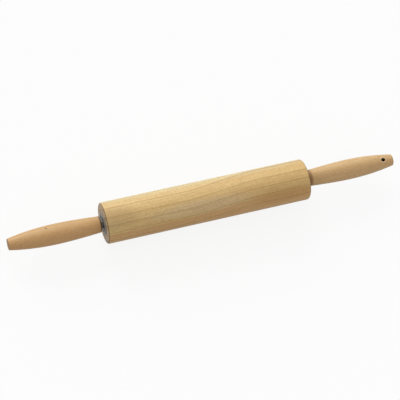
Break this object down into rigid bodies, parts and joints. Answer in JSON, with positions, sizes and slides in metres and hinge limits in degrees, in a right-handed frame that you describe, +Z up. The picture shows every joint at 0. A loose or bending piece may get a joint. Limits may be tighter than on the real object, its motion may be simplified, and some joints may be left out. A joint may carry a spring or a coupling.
{
  "type": "rolling pin",
  "caption": "Wooden rolling pin whose straight barrel spins on ball bearings over a steel rod, between turned handles, one with a hanging hole.",
  "frame": {"origin": "on the table under the middle of the barrel", "axes": "+X along the barrel's axis towards the handle with the hanging hole, +Z up along that hole"},
  "size_m": [0.6304, 0.0648, 0.0649],
  "materials": {
    "barrel_wood": "bare, finely sanded",
    "handle_wood": "bare, finely sanded",
    "plated_steel": "dull zinc plate",
    "bearing_steel": "polished",
    "rod_steel": "drawn",
    "insert_brass": "machined"
  },
  "bodies": {
    "axle": {"axle_rod": "rod_steel", "left_handle": "handle_wood", "right_handle": "handle_wood", "left_bearing_cone": "bearing_steel", "left_dust_washer": "plated_steel", "left_jam_nut": "plated_steel", "left_threaded_insert": "insert_brass", "right_bearing_cone": "bearing_steel", "right_dust_washer": "plated_steel", "right_jam_nut": "plated_steel", "right_threaded_insert": "insert_brass"},
    "barrel": {"barrel": "barrel_wood", "left_bearing_cup": "plated_steel", "right_bearing_cup": "plated_steel"},
    "left_balls": {"left_ball_1": "bearing_steel", "left_ball_2": "bearing_steel", "left_ball_3": "bearing_steel", "left_ball_4": "bearing_steel", "left_ball_5": "bearing_steel", "left_ball_6": "bearing_steel", "left_ball_7": "bearing_steel", "left_ball_8": "bearing_steel", "left_ball_9": "bearing_steel", "left_ball_10": "bearing_steel", "left_ball_11": "bearing_steel", "left_ball_12": "bearing_steel"},
    "right_balls": {"right_ball_1": "bearing_steel", "right_ball_2": "bearing_steel", "right_ball_3": "bearing_steel", "right_ball_4": "bearing_steel", "right_ball_5": "bearing_steel", "right_ball_6": "bearing_steel", "right_ball_7": "bearing_steel", "right_ball_8": "bearing_steel", "right_ball_9": "bearing_steel", "right_ball_10": "bearing_steel", "right_ball_11": "bearing_steel", "right_ball_12": "bearing_steel"}
  },
  "joints": [
    {"name": "barrel_spin", "type": "hinge", "parent": "axle", "child": "barrel", "pos_m": [0, 0, 0.03243], "axis": [1, 0, 0], "continuous": true},
    {"name": "left_balls_orbit", "type": "hinge", "parent": "axle", "child": "left_balls", "pos_m": [-0.16, 0, 0.03243], "axis": [1, 0, 0], "continuous": true},
    {"name": "right_balls_orbit", "type": "hinge", "parent": "axle", "child": "right_balls", "pos_m": [0.16, 0, 0.03243], "axis": [1, 0, 0], "continuous": true}
  ],
  "couplings": [
    {"joint": "left_balls_orbit", "follows": "barrel_spin", "ratio": 0.5875},
    {"joint": "right_balls_orbit", "follows": "barrel_spin", "ratio": 0.5875}
  ]
}
